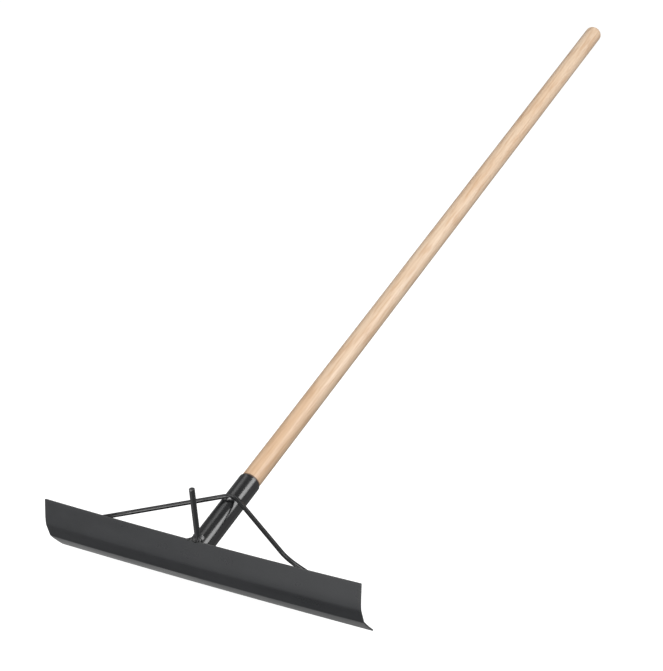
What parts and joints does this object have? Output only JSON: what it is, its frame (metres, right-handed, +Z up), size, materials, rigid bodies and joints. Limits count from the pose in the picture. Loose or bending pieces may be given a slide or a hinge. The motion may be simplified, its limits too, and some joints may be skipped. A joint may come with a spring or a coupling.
{
  "type": "concrete placer",
  "caption": "Concrete placer: folded steel blade with a welded tube socket, bent brace rod and lifting hook, on a long straight wooden handle.",
  "frame": {"origin": "middle of the blade's working edge, where the lip meets the ground in use", "axes": "+X along the blade, +Y from the blade towards the end of the handle, +Z up the blade's flat panel"},
  "size_m": [0.495, 1.2991, 0.6047],
  "materials": {
    "blade_paint": "satin charcoal powder coat",
    "socket_paint": "gloss black enamel",
    "rod_paint": "semi-gloss black enamel",
    "weld_paint": "black enamel over rippled weld beads",
    "ash": "pale wood, sanded and lacquered",
    "zinc": "bright zinc plate"
  },
  "bodies": {
    "root": {"blade": "blade_paint", "socket": "socket_paint", "handle": "ash", "handle_screw": "zinc", "lift_hook": "rod_paint", "brace_rod": "rod_paint", "socket_weld_left": "weld_paint", "socket_weld_right": "weld_paint", "hook_weld": "weld_paint", "brace_weld_left": "weld_paint", "brace_weld_right": "weld_paint", "saddle_weld_front": "weld_paint", "saddle_weld_rear": "weld_paint"}
  },
  "joints": []
}
